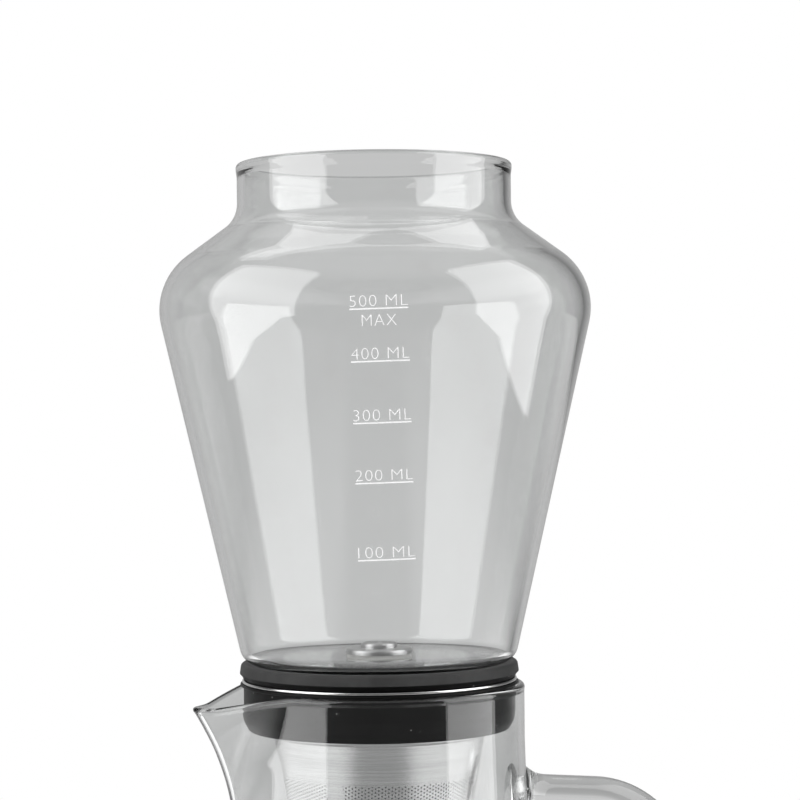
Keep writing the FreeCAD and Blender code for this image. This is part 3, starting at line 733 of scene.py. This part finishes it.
def joined(first, second):
    objects = [placed("blank", stored(mesh, "blank")) for mesh in (first, second)]
    weld = objects[0].modifiers.new("weld", "BOOLEAN")
    weld.operation = "UNION"
    weld.solver = "MANIFOLD"
    weld.object = objects[1]
    graph = bpy.context.evaluated_depsgraph_get()
    result = bpy.data.meshes.new_from_object(objects[0].evaluated_get(graph))
    for item in objects:
        bpy.data.objects.remove(item)
    return result


def buildCarafe(size):
    outside = carafeOutline(size)
    top, wall = size["height"], size["wall"]
    neckAndMouth = [(across - wall, height, rounding and rounding + wall)
                    for across, height, rounding in outside[3:5]]
    lean = (size["footRadius"] - size["neckRadius"]) / (top - size["neckDrop"])
    floor = size["footRadius"] - wall - lean * size["floor"]
    lip = size["lipRadius"] - wall
    inside = [
        (lip - size["lipSwell"], top, size["lipRound"]),
        (lip, top - size["lipBead"], size["lipBlend"]),
        *neckAndMouth[::-1],
        (floor, size["floor"], size["footRound"] - wall),
        (floor * size["kickShare"], size["floor"] + size["kickEdge"], size["kickSweep"]),
        (0, size["floor"] + size["kick"], None)]
    mesh = turnedMesh(outside + inside, closed=False, segments=320, spacing=2.2, arcSteps=18)
    for vert in mesh.verts:
        angle = math.atan2(vert.co.y, -vert.co.x)
        angle -= size["crowding"] * math.sin(angle)
        reach = vert.co.to_2d().length
        vert.co.xy = (-math.cos(angle) * reach, math.sin(angle) * reach)
    pullSpout(mesh, size, spout)
    return joined(mesh, buildHandle(handle, size))


keepPiece(buildCarafe(carafe), "carafe", "carafe", clearGlass,
          ["carafe_glass", "carafe_handle"], sharpAngle=50)
print("stage: carafe")


# Filter and its gasket

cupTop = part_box("filter_cup")[1].z / mm
coneLow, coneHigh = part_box("filter_cone")
gasketLow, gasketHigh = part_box("filter_gasket")
sieve = {
    "sheet": 0.5,
    "rim": cupTop,
    "beadRadius": 0.45,      # rolled edge
    "beadPlace": 34.5,
    "beadRound": 0.9,        # these three are shares of its radius
    "beadFlat": 0.8,
    "beadLap": 1.6,
    "cupRadius": 32.3,
    "stepLevel": cupTop - 12.1,
    "stepRadius": 29.2,
    "coneTop": coneHigh.z / mm,
    "coneTopRadius": 26.7,
    "coneFloor": coneLow.z / mm,
    "coneFloorRadius": 14.4,
    "pressed": 0.2,          # rounding of the pressed corners
    "pressedInside": 0.15,
    "rolled": 0.3,
}
gasket = {
    "inside": 32.35,
    "outside": 34.55,
    "bottom": gasketLow.z / mm,
    "top": gasketHigh.z / mm,
    "flange": 0.6,
    "flangeRadius": 35.4,
    "flangeRound": 0.2,
    "topRound": 0.25,
    "taper": 1.6,
    "taperHeight": 5.0,
    "taperMiddle": (0.25, 0.45),  # shares of both, where the taper bends
    "taperSweep": 4.0,
    "noseRound": 0.5,
    "footRound": 0.3,
    "crease": 0.1,
}


def buildCup(size):
    sheet, bead, place = size["sheet"], size["beadRadius"], size["beadPlace"]
    top = size["rim"]
    under = top - bead * 2
    lap = top - bead + sheet / 2
    lapEdge, flatEdge = (place - bead * size[share] for share in ("beadLap", "beadFlat"))
    outerEdge = place + bead
    beadRound, step = bead * size["beadRound"], size["stepLevel"]
    return turnedMesh([
        (size["stepRadius"] - sheet, step, None),
        (size["cupRadius"] - sheet, step, sheet),
        (size["cupRadius"] - sheet, lap, sheet),
        (lapEdge, lap, size["rolled"]),
        (flatEdge, top, size["pressed"]),
        (outerEdge, top, beadRound),
        (outerEdge, under, beadRound),
        (flatEdge, under, size["pressed"]),
        (lapEdge, lap - sheet, size["rolled"]),
        (size["cupRadius"], lap - sheet, size["pressed"]),
        (size["cupRadius"], step - sheet, sheet * 2),
        (size["stepRadius"], step - sheet, size["pressed"]),
        (size["stepRadius"], size["coneTop"], sheet * 2),
        (size["coneTopRadius"] - sheet, size["coneTop"], None),
        (size["coneTopRadius"] - sheet, size["coneTop"] + sheet, None),
        (size["stepRadius"] - sheet, size["coneTop"] + sheet, size["pressedInside"]),
    ], segments=192, spacing=3.0)


def buildCone(size):
    sheet = size["sheet"]
    mesh = turnedMesh([
        (size["coneTopRadius"] - sheet, size["coneTop"], None),
        (size["coneTopRadius"], size["coneTop"], None),
        (size["coneFloorRadius"], size["coneFloor"], None),
        (size["coneFloorRadius"] - sheet, size["coneFloor"], None),
    ], segments=192, spacing=4.0)
    rollOut(mesh, size)
    return mesh


def rollOut(mesh, size):
    # The UV map holds the cone rolled out flat, in millimetres, so that the holes keep their pitch
    slope = (size["coneTopRadius"] - size["coneFloorRadius"]) / (size["coneTop"] - size["coneFloor"])
    half = math.atan(slope)
    apex = size["coneFloor"] - size["coneFloorRadius"] / slope
    rolled = mesh.loops.layers.uv.new("rolled")
    for face in mesh.faces:
        middle = face.calc_center_median()
        centre = math.atan2(middle.x, -middle.y)
        for loop in face.loops:
            spot = loop.vert.co
            angle = centre + (math.atan2(spot.x, -spot.y) - centre + math.pi) % (2 * math.pi) - math.pi
            slant = (spot.z / mm - apex) / math.cos(half)
            flat = angle * math.sin(half)
            loop[rolled].uv = (slant * math.sin(flat), slant * math.cos(flat))


def buildGasket(size):
    across, up = size["taperMiddle"]
    nose, flange = size["outside"] - size["taper"], size["top"] - size["flange"]
    return turnedMesh([
        (size["inside"], size["bottom"], size["footRound"]),
        (nose, size["bottom"], size["noseRound"]),
        (size["outside"] - size["taper"] * across, size["bottom"] + size["taperHeight"] * up,
         size["taperSweep"]),
        (size["outside"], size["bottom"] + size["taperHeight"], size["taperSweep"]),
        (size["outside"], flange, size["crease"]),
        (size["flangeRadius"], flange, size["flangeRound"]),
        (size["flangeRadius"], size["top"], size["topRound"]),
        (size["inside"], size["top"], size["crease"]),
    ], segments=224, spacing=3.0)


keepPiece(buildCup(sieve), "cup", "filter", brushedSteel, ["filter_cup"])
keepPiece(buildCone(sieve), "cone", "filter", coneSteel, ["filter_cone"])
keepPiece(buildGasket(gasket), "gasket", "filter", charcoalRubber, ["filter_gasket"])
print("stage: filter")


# Soft ring under the tank

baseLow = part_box("tank_base")[0]
baseRing = {
    "bottom": baseLow.z / mm,
    "seat": baseLow.z / mm + 4.0,
    "bandHeight": 2.1,       # from its widest edge up to the tank's underside
    "bandRise": 0.5,         # from the tank's underside up to its flat top
    "radius": 35.5,
    "edgeRound": 0.15,
    "topRadius": 35.15,
    "topRound": 0.9,
    "waistRadius": 35.1,     # just under the widest edge
    "waistDrop": 0.35,
    "seatRadius": 34.5,
    "seatRound": 0.4,
    "spigotInside": 29.6,
    "spigotOutside": 31.5,
    "spigotRound": 0.45,
    "crease": 0.2,
    "gap": 0.03,             # between the ring and the glass in it
}


def buildBase(size, glass):
    foot = glass["bottom"]
    top, widest = foot + size["bandRise"], foot - size["bandHeight"]
    side = [point / mm for point in roundedOutline(tankOutline(glass), closed=False, arcSteps=48)]
    nest = [(point.x + size["gap"], point.y - size["gap"], None) for point in side
            if size["spigotInside"] < point.x and point.y < top]
    return turnedMesh([
        (size["spigotInside"], size["bottom"], size["spigotRound"]),
        (size["spigotOutside"], size["bottom"], size["spigotRound"]),
        (size["spigotOutside"], size["seat"], size["crease"]),
        (size["seatRadius"], size["seat"], size["seatRound"]),
        (size["waistRadius"], widest - size["waistDrop"], size["crease"]),
        (size["radius"], widest, size["edgeRound"]),
        (size["topRadius"], top, size["topRound"]),
        *nest[::-1],
        (size["spigotInside"], foot - size["gap"], None),
    ], segments=224, spacing=3.0, arcSteps=8)


keepPiece(buildBase(baseRing, tank), "base_ring", "tank", blackRubber, ["tank_base"])
print("stage: base ring")


# Volume marks, printed on the front of the tank

marks = {
    "rules": (("500 ML", 233.2), ("400 ML", 221.0), ("300 ML", 206.6), ("200 ML", 192.4), ("100 ML", 174.0)),
    "capHeight": 2.6,
    "width": 13.6,
    "thinning": -0.022,      # of the letters' strokes
    "tracking": 1.08,
    "ruleWidth": 13.8,
    "ruleThick": 0.34,
    "ruleGap": 0.55,         # rule to the foot of the letters over it
    "limitWord": "MAX",
    "limitWidth": 8.1,
    "limitDrop": 3.95,       # top rule to the foot of the word under it
    "lift": 0.03,            # how far the print stands off the glass
    "thickness": 0.03,
    "lean": 1.45,            # degrees
    "turn": -13.15,          # degrees, from -Y towards +X
}


def addWord(mesh, word, width, foot, values):
    letters = bpy.data.curves.new(word, "FONT")
    letters.body = word
    letters.align_x = "CENTER"
    letters.offset = values["thinning"]
    letters.space_character = values["tracking"]
    letters.resolution_u = 5
    holder = placed(word, letters)
    flat = bpy.data.meshes.new_from_object(holder.evaluated_get(bpy.context.evaluated_depsgraph_get()))
    bpy.data.objects.remove(holder)
    across = [vert.co.x for vert in flat.vertices]
    up = [vert.co.y for vert in flat.vertices]
    fitWidth = width / (max(across) - min(across))
    fitHeight = values["capHeight"] / (max(up) - min(up))
    flat.transform(Matrix.Translation((-(min(across) + max(across)) / 2, -min(up), 0)))
    flat.transform(Matrix.Diagonal((fitWidth, fitHeight, 1, 1)))
    flat.transform(Matrix.Translation((0, foot, 0)))
    mesh.from_mesh(flat)
    bpy.data.meshes.remove(flat)


def buildMarks(values, glass):
    mesh = bmesh.new()
    for word, rule in values["rules"]:
        addWord(mesh, word, values["width"], rule + values["ruleGap"], values)
        strip = bmesh.ops.create_grid(mesh, x_segments=24, y_segments=1, size=0.5)["verts"]
        bmesh.ops.scale(mesh, vec=(values["ruleWidth"], values["ruleThick"], 1), verts=strip)
        bmesh.ops.translate(mesh, vec=(0, rule, 0), verts=strip)
    top = values["rules"][0][1]
    addWord(mesh, values["limitWord"], values["limitWidth"], top - values["limitDrop"], values)
    side = radiusLine(tankOutline(glass), glass["bottom"] + glass["footRound"], top + values["capHeight"] * 3)
    slope = math.tan(math.radians(values["lean"]))
    bmesh.ops.solidify(mesh, geom=mesh.faces[:], thickness=-values["thickness"])
    for vert in mesh.verts:
        height = vert.co.y + vert.co.x * slope
        reach = along(side, height) + values["lift"] + vert.co.z
        angle = math.radians(values["turn"]) + (vert.co.x + (top - vert.co.y) * slope) / reach
        vert.co = Vector((math.sin(angle) * reach, -math.cos(angle) * reach, height)) * mm
    bmesh.ops.recalc_face_normals(mesh, faces=mesh.faces)
    return mesh


keepPiece(buildMarks(marks, tank), "volume_marks", "tank", whitePrint)
print("stage: volume marks")

for nodes, finish in (
        (("spreader_disc", "spreader_tab"), brushedSteel),
        (("filter_floor",), floorSteel),
        (("valve_body", "valve_nut", "metering_needle",
          "knob_insert", "knob_clip", "inlet_screen"), turnedSteel),
        (("needle_ring",), blackRubber),
        (("valve_upper_washer", "valve_lower_washer", "drip_tip"), clearRubber),
        (("adjuster_knob",), knobPlastic)):
    for node in nodes:
        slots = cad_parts[node].data.materials
        slots.clear()
        slots.append(finish)
print("stage: plain nodes finished")


# Camera, lights and the ground

view = {
    "turn": 14.0,            # degrees, from -Y towards -X
    "distance": 612.0,
    "height": 210.0,
    "lens": 108.0,
    "film": 36.0,
    "aimRight": 0.565,       # degrees
    "aimUp": 0.19,
    "roll": 0.66,
}


def makeCamera(values):
    camera = bpy.data.cameras.new("tableCamera")
    camera.lens = values["lens"]
    camera.sensor_width = values["film"]
    holder = placed("tableCamera", camera)
    turn = math.radians(values["turn"])
    away = values["distance"] * mm
    holder.location = (-math.sin(turn) * away, -math.cos(turn) * away, values["height"] * mm)
    heading = Matrix.Rotation(-turn - math.radians(values["aimRight"]), 4, "Z")
    tilt = Matrix.Rotation(math.radians(90 + values["aimUp"]), 4, "X")
    roll = Matrix.Rotation(-math.radians(values["roll"]), 4, "Z")
    holder.rotation_euler = (heading @ tilt @ roll).to_euler()
    bpy.context.scene.camera = holder


studio = {                   # metres; angles in degrees from the camera's side, towards its right
    "leftAngle": -67.0, "leftDistance": 0.62, "leftWidth": 0.64, "leftRadiance": 2.9,
    "rightAngle": 77.0, "rightDistance": 0.62, "rightWidth": 0.60, "rightRadiance": 2.9,
    "boxHeight": 0.31, "boxLength": 1.08,
    "topRadiance": 1.3, "topWidth": 0.9, "topDepth": 0.22, "topBack": 0.34, "topHeight": 0.95,
    "aimHeight": 0.16,
    "ambient": 0.55,         # what lights dull surfaces
    "throughGlass": 0.60,    # backdrop as glass shows it
    "inGloss": 0.11,         # dim room as polished surfaces show it
    "backdropInGloss": 0.52,  # the lit backdrop behind the object, as polished surfaces show it
    "backdropEdge": (0.60, 0.96),  # backward share of a direction over which the backdrop starts
    "ceilingInGloss": 0.55,
    "ceilingEdge": (0.45, 0.85),   # upward share over which the ceiling starts
    "tableInGloss": 0.34,    # the pale table in front of the object, as polished surfaces show it
    "litTable": 1.0,         # and under the softboxes
    "tableThroughGlass": 0.40,
}


def rayKinds(paint):
    # 1 for rays from the camera, for rays that only passed through glass, and for reflected rays
    camera, passed, dull, mirrored = (paint.node("ShaderNodeLightPath", output=name) for name in (
        "Is Camera Ray", "Is Transmission Ray", "Is Diffuse Ray", "Glossy Depth"))
    reflected = (mirrored > 0.5) * (1 - dull)
    return camera, passed * (1 - reflected), reflected


def hang(holder, spot, values):
    holder.location = spot
    aim = Vector((0, 0, values["aimHeight"]))
    holder.rotation_euler = (aim - spot).to_track_quat("-Z", "Y").to_euler()
    holder.visible_camera = False


def makeSoftbox(side, values):
    # A glowing sheet that lights and reflects, but isn't there for a look straight through glass
    name = side + "Softbox"
    mesh = bmesh.new()
    bmesh.ops.create_grid(mesh, x_segments=1, y_segments=1, size=0.5)
    bmesh.ops.scale(mesh, vec=(values[side + "Width"], values["boxLength"], 1), verts=mesh.verts)
    data = stored(mesh, name)
    paint = Paint(name)
    through = rayKinds(paint)[1]
    glow = paint.node("ShaderNodeEmission", inputs={
        "Color": grey(1.0), "Strength": values[side + "Radiance"]})
    clear = paint.node("ShaderNodeBsdfTransparent")
    mixed = paint.node("ShaderNodeMixShader", inputs={0: through, 1: glow, 2: clear})
    paint.node("ShaderNodeOutputMaterial", inputs={"Surface": mixed})
    data.materials.append(paint.owner)
    angle = math.radians(values[side + "Angle"] - view["turn"])
    distance = values[side + "Distance"]
    holder = placed(name, data)
    spot = Vector((math.sin(angle) * distance, -math.cos(angle) * distance, values["boxHeight"]))
    hang(holder, spot, values)
    holder.visible_shadow = False


def makeToplight(values):
    light = bpy.data.lights.new("topSoftbox", "AREA")
    light.shape = "RECTANGLE"
    light.size = values["topWidth"]
    light.size_y = values["topDepth"]
    light.energy = values["topRadiance"] * math.pi * values["topWidth"] * values["topDepth"]
    hang(placed("topSoftbox", light), Vector((0, values["topBack"], values["topHeight"])), values)


def makeStudio(values):
    for side in ("left", "right"):
        makeSoftbox(side, values)
    makeToplight(values)
    world = bpy.data.worlds.new("studio")
    bpy.context.scene.world = world
    paint = Paint("studio", world)
    camera, through, gloss = rayKinds(paint)
    _, behind, above = paint.parts(paint.node("ShaderNodeTexCoord", output="Generated"))
    room = behind.ramp(*values["backdropEdge"], values["inGloss"], values["backdropInGloss"])
    room = room.most(above.ramp(*values["ceilingEdge"], 0.0, values["ceilingInGloss"]))
    seen = camera + through * values["throughGlass"] + gloss * room
    strength = seen + (1 - camera - through - gloss) * values["ambient"]
    sky = paint.node("ShaderNodeBackground", inputs={0: grey(1.0), 1: strength})
    paint.node("ShaderNodeOutputWorld", inputs={0: sky})


tableTop = {                 # metres; pairs are where a change starts and ends
    "radius": 2.4,
    "tones": (0.86, 0.88),
    "mottleScale": 30.0,
    "tableEnd": (0.35, 0.65),      # from the axis
    "underBoxes": (0.10, 0.19),    # to either side of the middle of the view
    "farThrough": (0.35, 1.10),    # from the axis, for looks through glass
    "backdropStart": (0.25, 0.70),  # behind the object
    "shadowEnd": (0.16, 0.50),     # from the axis
    "shadowFade": 0.35,      # share of the shadow that is left out close by
}


def makeGround(values, light):
    mesh = bmesh.new()
    bmesh.ops.create_circle(mesh, cap_ends=True, segments=96, radius=values["radius"])
    data = stored(mesh, "ground")
    ground = placed("ground", data)
    paint = Paint("paleGround")
    place = paint.objectPlace()
    x, y, _ = paint.parts(place)
    reach = (x * x + y * y) ** 0.5
    camera, through, gloss = rayKinds(paint)
    mottle = paint.noise(place, values["mottleScale"])
    matt = paint.node("ShaderNodeBsdfDiffuse", inputs={
        "Color": paint.blendColours(mottle, *(grey(tone) for tone in values["tones"]))})
    turn = math.radians(view["turn"])
    aside = (x * math.cos(turn) - y * math.sin(turn)).size()
    table = reach.ramp(*values["tableEnd"], 1.0, 0.0) \
        * aside.ramp(*values["underBoxes"], light["tableInGloss"], light["litTable"])
    table = table.most(y.ramp(*values["backdropStart"], 0.0, light["backdropInGloss"] - light["inGloss"]))
    under = reach.ramp(*values["farThrough"], light["tableThroughGlass"], light["throughGlass"])
    glow = paint.node("ShaderNodeEmission", inputs={
        "Color": grey(1.0), "Strength": camera + through * under + gloss * (table + light["inGloss"])})
    fade = reach.ramp(*values["shadowEnd"], values["shadowFade"], 1.0) * camera + through + gloss
    mixed = paint.node("ShaderNodeMixShader", inputs={0: fade, 1: matt, 2: glow})
    paint.node("ShaderNodeOutputMaterial", inputs={"Surface": mixed})
    data.materials.append(paint.owner)


makeCamera(view)
makeStudio(studio)
makeGround(tableTop, studio)
for name in ("tank", "carafe"):
    bpy.data.objects[name].visible_shadow = False    # clear glass leaves hardly any
bpy.context.scene.view_settings.view_transform = "Standard"
print("stage: camera and light")
